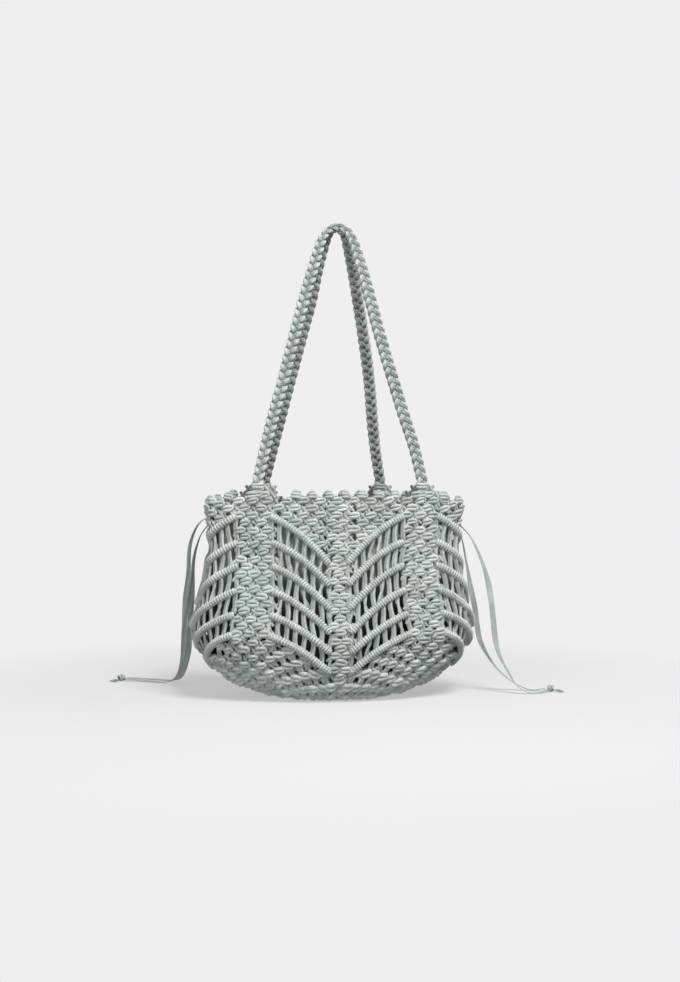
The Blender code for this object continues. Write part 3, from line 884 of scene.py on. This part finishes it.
# Base knots, facing the ground
def build_base():
    """Knots of the flat base, facing the ground, with their crowns just on it."""
    points, faces, uvs, shades = knot_template(LOWER_ROW_PITCH)
    crown = points[:, 2].max() + FLOOR
    shape = Shape()
    ring_width = SECTIONS[0][1] * BAG_WIDTH / 2
    ring_depth = SECTIONS[0][2] * BAG_DEPTH / 2
    for row in range(-5, 6):
        for k in range(-4, 5):
            x = (k + 0.5 * (row % 2)) * KNOT_PITCH
            y = row * ROW_PITCH
            if (x / (ring_width + 0.004)) ** 2 + (y / (ring_depth + 0.002)) ** 2 < 1:
                placed = np.stack([x + points[:, 0], y + points[:, 1], crown - points[:, 2]], 1)
                shift = np.array([rng.uniform(0, 1), 0])
                shape.add(placed, faces[:, ::-1], uvs[:, ::-1] + shift, shades)
    make_piece("base_knots", *shape.arrays(), CORD, "cotton_cord")


build_base()


# Ridges and the strands between them. Slopes as V (0 front, 1 right, 2 back, 3 left) and its side
RIDGE_BANDS = {
    "front": ((0, 1), (0, -1), (1, -1), (3, 1)),
    "back": ((2, 1), (2, -1), (1, 1), (3, -1)),
}
RIDGE_RINGS = 190
RIDGE_END_SHIFT = 0.005
RIDGE_TIP = 0.0042


def slope_turns(v, side, count, low, high):
    """Turns along one slope of a V, from its lower end to its upper end."""
    half = np.linspace(low, high, count)
    return (v + side * half / 2) / 4


def even_turns(turn, index, count):
    """Turns that stand evenly along a ridge, so that its wraps are as fine in the folds as in front."""
    points, _ = surface(turn, ridge_height(index, turn))
    run = running_length(points)
    return np.interp(np.linspace(0, run[-1], count), run, turn)


def build_ridges():
    """Cord hitched round a bearer, wrap by wrap, with a rounded free tip at each end."""
    sides = 10
    low, high = CHEVRON_START + RIDGE_END_SHIFT, CHEVRON_END + RIDGE_END_SHIFT
    for face, bands in RIDGE_BANDS.items():
        shape = Shape()
        for v, side in bands:
            for index in range(len(RIDGES)):
                turn = even_turns(slope_turns(v, side, 900, low, high), index, RIDGE_RINGS)
                height = ridge_height(index, turn)
                centre, normal = surface(turn, height)
                wobble = 0.0005 * np.sin(np.linspace(0, 6 + index, len(turn)) + v + side)
                centre = centre + normal * (-0.0004 + wobble)[:, None]
                run = running_length(centre)
                along = unit(np.gradient(centre, axis=0))
                a = unit(np.cross(normal, along))
                b = np.cross(along, a)
                angle = np.arange(sides) / sides * 2 * math.pi
                phase = run[:, None] / WRAP_PITCH * math.pi + side * 0.55 * np.sin(angle)[None]
                crest = np.abs(np.sin(phase + 0.3 * np.sin(run[:, None] / 0.007)))
                swell = 0.82 + 0.28 * crest
                to_end = np.minimum(run, run[-1] - run)
                tip = np.sqrt(np.clip(1 - (1 - np.clip(to_end / RIDGE_TIP, 0, 1)) ** 2, 0.02, 1))
                radius = RIDGE_RADIUS * swell * tip[:, None]
                ring = circle(angle, a, b)
                rings = centre[:, None] + ring * radius[..., None]
                faces, uvs = tube_faces(rings, centre)
                if side < 0:
                    faces, uvs = faces[:, ::-1], uvs[:, ::-1]
                rings[..., 2] = np.maximum(rings[..., 2], FLOOR)
                out = np.einsum("ijk,ik->ij", ring * radius[..., None], normal)
                # Painted shade on the ridge's side towards the wall and in the creases between its
                # wraps, with a slight painted highlight on their crests
                shade = np.clip(1.0 + (out + 0.0004) / 0.0045, 0.3, 1.0) * (0.56 + 0.54 * crest**0.7)
                shift = np.array([rng.uniform(0, 1), 0])
                shape.add(rings.reshape(-1, 3), faces, uvs + shift, shade.ravel())
        make_piece("ridges_" + face, *shape.arrays(), CORD, "cotton_cord")


def build_strands():
    """Pairs of bare cords from the underside of one ridge to the top of the next."""
    shape = Shape()
    pairs = 8
    for v in range(4):
        for side in (1, -1):
            for index in range(len(RIDGES) - 1):
                for k in range(pairs):
                    share = (k + 0.12) / (pairs - 0.76)
                    half = CHEVRON_START + share * (CHEVRON_END - CHEVRON_START)
                    turn0 = (v + side * half / 2) / 4
                    top = float(ridge_height(index, np.array(turn0))) - 0.001
                    low = float(ridge_height(index + 1, np.array(turn0))) + 0.001
                    lean = rng.normal(0, 0.0010)
                    cross = rng.choice((-1.0, 1.0, 1.0))
                    phase = rng.uniform(0, 6)
                    for twin in (-1, 1):
                        t = np.linspace(0, 1, 10)
                        waist = 1 - 0.25 * np.sin(math.pi * t)
                        gap = 0.0016 * np.where(cross < 0, np.cos(math.pi * t), waist)
                        shift = twin * gap + lean * (2 * t - 1) + 0.0007 * np.sin(5 * t + phase)
                        height = top + (low - top) * t
                        per_turn, _ = scales(np.full(len(t), turn0), height)
                        point, normal = surface(turn0 + shift / per_turn, height)
                        depth = -0.0015 - 0.0007 * np.sin(math.pi * t) + twin * 0.0006
                        ends = np.clip(np.minimum(t, 1 - t) / 0.22, 0, 1)
                        # Painted shade: strands are painted darker with depth and towards both ends,
                        # under the ridges, with a random tone
                        shade = depth_shade(depth) * (0.5 + 0.5 * ends) * rng.uniform(0.85, 1.05)
                        path = point + normal * depth[:, None]
                        add_tube(shape, path, STRAND_RADIUS, 7, hint=(0.13, -0.99, 0), shade=shade)
    make_piece("open_row_strands", *shape.arrays(), CORD, "cotton_cord")


build_ridges()
build_strands()


# Rim
def anchor(x, face):
    """Middle of the rim's wall at this x on the front (1) or back (-1), with the outward direction."""
    turns = np.linspace(0, 0.2, 2001)
    heights = np.full(len(turns), RIM_HEIGHT)
    along = surface(turns, heights)[0][:, 0]
    turn = np.interp(abs(x), along, turns) * (1 if x > 0 else -1)
    if face < 0:
        turn = 0.5 - turn
    point, normal = surface(np.array([turn]), np.array([RIM_HEIGHT]))
    out = normal[0] * np.array([1, 1, 0])
    out /= np.linalg.norm(out)
    return turn, point[0] - out * WALL / 2, out


def picot_template():
    """A small stepped knot that stands on the rim, in mm: two bars and a closing loop, each on both
    faces of the wall, and the lobe at the right."""
    shape = Shape()
    for y, half, fat in ((1.0, 4.9, 1.95), (4.3, 4.3, 1.9)):
        path = (
            (-half, y - 0.2, -3.9),
            (-half * 0.8, y, -1.9),
            (0, y + 0.2, -0.7),
            (half * 0.8, y, -1.4),
            (half, y - 0.2, -3.6),
        )
        radii = (fat * 0.8, fat, fat * 1.05, fat, fat * 0.8)
        add_tube(shape, path, radii, 8)
        back = tuple((x, level, -5.9 - depth) for x, level, depth in path)
        add_tube(shape, back, radii, 7)
    lobe = ((3.0, -1.4, -2.8), (4.6, 0.6, -0.9), (5.0, 2.7, -0.6), (4.0, 5.0, -1.4), (2.4, 6.0, -2.6))
    add_tube(shape, lobe, (1.3, 1.7, 1.8, 1.6, 1.2), 7)
    loop = ((-3.0, 5.4, -3.2), (-2.2, 7.2, -2.3), (0.1, 8.0, -1.9), (2.3, 7.0, -2.4), (3.1, 5.2, -3.4))
    radii = (1.4, 1.6, 1.7, 1.6, 1.3)
    add_tube(shape, loop, radii, 7)
    add_tube(shape, tuple((x, y, -6.0 - z) for x, y, z in loop), radii, 7)
    points, faces, uvs, _ = shape.arrays()
    points = points * MM
    # Painted shade: cord deeper in the knot, on either face of the wall, is painted darker
    depth = np.maximum(points[:, 2], -0.0059 - points[:, 2])
    return points, faces, uvs * np.array([MM, 1]), depth_shade(depth)


def build_picots():
    """Picots round the rim, left out at the tabs. Those behind stand between those in front."""
    behind = 0.17
    turn = (np.arange(KNOTS_ROUND) + 0.5) / KNOTS_ROUND
    turn = np.where(np.abs(turn - 0.5) < behind, turn + 0.5 / KNOTS_ROUND, turn)
    stands, _ = surface(turn, rim_height(turn))
    kept = np.ones(len(turn), bool)
    for x, face, base in TABS.values():
        place = anchor(x, face)[1]
        kept &= np.hypot(*(stands - place)[:, :2].T) > KNOT_PITCH / 2 + base / 2
    turn = turn[kept]
    height = rim_height(turn) - 0.0008
    tilt = jitter(len(turn), 0.09)
    size = 1 + jitter(len(turn), 0.04)
    arrays = place_on_wall(picot_template(), turn, height, tilt, size)
    make_piece("rim_picots", *arrays, CORD, "cotton_cord")


build_picots()


# Straps
def leg_points(tab, column, apex_y):
    """Route and girth of one leg, from its tab to the apex."""
    x, face, _ = TABS[tab]
    _, base, _ = anchor(x, face)
    foot = RIM_HEIGHT + TAB_HEIGHT + 2 * GAP
    table = np.array(LEG_SHAPE)
    rise, spread, depth, girth = (
        table[:, LEG_COLUMNS.index(key)] for key in ("rise", column, "depth", "girth")
    )
    return np.stack(
        [
            STRAP_APEX_X + (base[0] - STRAP_APEX_X) * spread,
            apex_y + (base[1] - apex_y) * depth,
            foot + (STRAP_APEX_HEIGHT - foot) * rise,
            girth,
        ],
        1,
    )


def strap_frames(side, face, spacing):
    """Evenly spaced points and girths along a strap, with its width and depth directions."""
    apex_y = -face * (STRAP_DIAMETER / 2 * LEG_SHAPE[-1][-1] + GAP)
    left = leg_points("strap_tab_" + side + "_left", side + "_left", apex_y)
    right = leg_points("strap_tab_" + side + "_right", side + "_right", apex_y)
    curve = smooth_path(np.vstack([left[1:], right[-2:0:-1]]), 12)
    curve = np.vstack([left[:1], curve, right[:1]])
    run = running_length(curve[:, :3])
    at = np.linspace(0, run[-1], int(run[-1] / spacing) + 1)
    path = np.stack([np.interp(at, run, curve[:, i]) for i in range(4)], 1)
    kernel = np.ones(5) / 5
    inner = np.stack([np.convolve(path[:, i], kernel, "valid") for i in range(4)], 1)
    path = np.vstack([path[:2], inner, path[-2:]])
    girth = path[:, 3]
    path = path[:, :3]
    along = unit(np.gradient(path, axis=0))
    depth = unit(np.array([0, 1.0, 0]) - along * along[:, 1:2])
    return at, path, girth, np.cross(depth, along), depth


def build_strap(side, face, tone_and_painted_shade):
    """A flat braid of three strands, each of two cords laid side by side, wound at each foot."""
    spacing, cord_radius = 0.0016, 0.0021
    at, path, girth, width, depth = strap_frames(side, face, spacing)
    shape = Shape()
    for strand in range(3):
        for twin in (-1, 1):
            phase = at / BRAID_PERIOD * 2 * math.pi + strand * 2 * math.pi / 3
            sideways = 0.0043 * np.sin(phase)
            inward = -face * 0.0023 * np.sin(2 * phase)
            slope = np.cos(phase)
            apart = twin * 0.0016 * (0.6 + 0.4 * np.abs(slope))
            centre = (
                path
                + width * ((sideways + apart) * girth)[:, None]
                + depth * ((inward - twin * 0.0006 * slope) * girth)[:, None]
            )
            rings = tube_rings(centre, cord_radius * girth, 8, 1.0, depth)
            faces, uvs = tube_faces(rings, centre)
            # Painted shade: cord nearer the braid's middle is painted darker, and the whole back strap
            # too
            away = np.linalg.norm(rings - path[:, None], axis=2)
            away = away / (STRAP_DIAMETER / 2 * girth[:, None])
            shade = np.clip(0.18 + 0.95 * away, 0.2, 1.0) * tone_and_painted_shade
            shape.add(rings.reshape(-1, 3), faces, uvs, shade.ravel())
    for end in (0, -1):
        for wind in range(2):
            angle = np.linspace(0, 2 * math.pi, 25)
            rise = 0.0007 + wind * 0.0028 + 0.0007 * np.sin(angle + wind)
            ring = (
                path[end]
                + np.array([0, 0, 1.0]) * rise[:, None]
                + width[end] * (np.cos(angle) * 0.0062)[:, None]
                + depth[end] * (np.sin(angle) * 0.0048)[:, None]
            )
            add_tube(shape, ring, 0.0018, 8, shade=tone_and_painted_shade)
    make_piece("strap_" + side + "_braid", *shape.arrays(), CORD, "cotton_cord", ("strap_" + side,))


def build_tab(name):
    """Knots in a small triangle on the rim, the same on both faces, under the strap's windings."""
    x, face, base = TABS[name]
    _, place, out = anchor(x, face)
    up = np.array([0, 0, 1.0])
    sideways = np.cross(up, out)
    points, faces, uvs, shades = knot_template(0.0055)
    spread = base / 2 - 0.0075
    spots = ((-spread, 0.0012, 1.0), (spread, 0.0012, 1.0), (0.0, 0.0080, 1.05), (0.0, 0.0020, 0.9))
    shape = Shape()
    for shift, level, size in spots:
        for facing in (1, -1):
            local = points * size * np.array([facing, 1, 1])
            placed = (
                place
                + sideways * (shift + local[:, :1])
                + up * (level + 0.0015 + local[:, 1:2])
                + out * facing * (0.0035 + local[:, 2:3])
            )
            placed[:, 2] += RIM_HEIGHT - place[2]
            shift_along = np.array([rng.uniform(0, 1), 0])
            shape.add(placed, faces, uvs + shift_along, shades)
    make_piece(name + "_knots", *shape.arrays(), CORD, "cotton_cord", (name,))


build_strap("front", 1, 1.0)
build_strap("back", -1, BACK_STRAP_PAINTED_SHADE)
for tab_name in TABS:
    build_tab(tab_name)


# Pouch
def build_lining():
    """Thin cloth that hangs inside the wall, gathered along its drawstring channel."""
    columns, rows = 240, 40
    top, foot, channel_rise, lowest = 0.90, 0.05, 0.87, 0.0085
    turn = np.arange(columns) / columns
    rise = np.linspace(top, foot, rows)
    turn_grid, rise_grid = np.meshgrid(turn, rise)
    height = rise_grid * RIM_HEIGHT
    point, normal = surface(turn_grid, height)
    drift = 2.2 * np.sin(turn_grid * 2 * math.pi * 5 + rise_grid * 3)
    folds = np.sin(turn_grid * 2 * math.pi * 34 + drift)
    gather = 0.0018 * np.clip((rise_grid - 0.3) / 0.5, 0.2, 1)
    sag = 0.0095 + 0.0125 * np.clip((0.66 - rise_grid) / 0.25, 0, 1)
    inset = sag + gather * folds
    placed = point - normal * inset[..., None]
    placed[..., 2] = np.maximum(placed[..., 2], lowest)
    channel = np.exp(-(((rise_grid - channel_rise) / 0.012) ** 2)) * 0.0012
    placed += normal * channel[..., None]
    bottom = placed[-1:] * np.array([0.6, 0.6, 0]) + np.array([0, 0, lowest])
    seam = bottom * np.array([0.5, 0.02, 1])
    rings = np.vstack([placed, bottom, seam])
    i, j = np.meshgrid(np.arange(len(rings) - 1), np.arange(columns), indexing="ij")
    k = (j + 1) % columns
    this, after = i * columns, (i + 1) * columns
    faces = np.stack([this + j, after + j, after + k, this + k], -1)
    girth, drop = 0.80, 0.24
    u = np.stack([j, j, j + 1, j + 1], -1) / columns * girth
    v = np.stack([i, i + 1, i + 1, i], -1) / rows * drop
    # Painted shade: the cloth is painted darker towards the bottom, darkest in the bottom and seam
    # rings, and darker in the hollows of its folds, lighter on their crests
    darkest = 0.07
    shades = np.full(rings.shape[:2], darkest)
    lit = np.clip((rise_grid - 0.46) / 0.20, 0, 1)
    shades[:rows] = (darkest + 0.93 * lit**1.5) * (0.80 + 0.20 * folds * lit)
    piece = make_piece(
        "lining_cloth",
        rings.reshape(-1, 3),
        faces.reshape(-1, 4),
        np.stack([u, v], -1).reshape(-1, 4, 2),
        shades.ravel(),
        LINING,
        "lining_cloth",
        ("lining_pouch",),
    )
    solid = piece.modifiers.new("thickness", "SOLIDIFY")
    solid.thickness = 0.0007
    solid.offset = -1


build_lining()


# Floor, light and backdrop
NEAR_ALBEDO = 0.42
NEAR_GLOW = 0.395
NEAR_REACH = 0.28
FADE_WIDTH = 0.35
SWEEP_GLOW = 0.863
SWEEP_START = 2.6
SWEEP_RADIUS = 1.6
WORLD = 0.28


def build_stage():
    """Pale floor that takes the shadow near the bag and fades into an evenly lit sweep."""
    n = Nodes("studio_floor")
    position = n.add("ShaderNodeTexCoord").outputs["Object"]
    axes = n.add("ShaderNodeSeparateXYZ")
    n.link(position, axes.inputs[0])
    squares = [n.math("POWER", axes.outputs[axis], 2.0) for axis in (0, 1)]
    reach = n.math("SQRT", n.math("ADD", *squares))
    far = n.math("DIVIDE", n.math("SUBTRACT", reach, NEAR_REACH), FADE_WIDTH, clamp=True)
    lit = n.math("SUBTRACT", 1.0, far)
    albedo = n.mix(far, (NEAR_ALBEDO,) * 3, (0.0, 0.0, 0.0))
    glow = n.math("ADD", n.math("MULTIPLY", lit, NEAR_GLOW), n.math("MULTIPLY", far, SWEEP_GLOW))
    n.fill(n.shader, {"Base Color": albedo, "Roughness": 1.0, "Specular IOR Level": 0.0})
    n.fill(n.shader, {"Emission Color": (1, 1, 1), "Emission Strength": glow})
    profile = []
    for step in range(25):
        angle = step / 24 * math.pi / 2
        back = SWEEP_START + SWEEP_RADIUS * math.sin(angle)
        profile.append((back, SWEEP_RADIUS - SWEEP_RADIUS * math.cos(angle)))
    profile = [(-6.0, 0.0), *profile, (4.2, 6.0)]
    points = [(x, y, z) for y, z in profile for x in (-9, 9)]
    faces = [(2 * i, 2 * i + 1, 2 * i + 3, 2 * i + 2) for i in range(len(profile) - 1)]
    mesh = bpy.data.meshes.new("floor")
    mesh.from_pydata(points, [], faces)
    mesh.shade_smooth()
    mesh.materials.append(n.material)
    floor = new_object("floor", mesh)
    floor.visible_diffuse = False


def add_area(name, location, target, size, power):
    """A round area light that faces the target."""
    data = bpy.data.lights.new(name, "AREA")
    data.shape = "DISK"
    data.size = size
    data.energy = power
    lamp = new_object(name, data)
    lamp.location = location
    direction = Vector(target) - Vector(location)
    lamp.rotation_euler = direction.to_track_quat("-Z", "Y").to_euler()


def build_light():
    world = bpy.data.worlds.new("studio")
    world.use_nodes = True
    background = world.node_tree.nodes["Background"]
    background.inputs[0].default_value = (1, 1, 1, 1)
    background.inputs[1].default_value = WORLD
    bpy.context.scene.world = world
    add_area("key", (0.5, -1.4, 2.3), (0, 0, 0.2), 1.1, 62)
    add_area("fill", (-1.5, -2.0, 1.0), (0, 0, 0.2), 1.4, 13)
    bpy.context.scene.view_settings.view_transform = "Standard"


build_stage()
build_light()
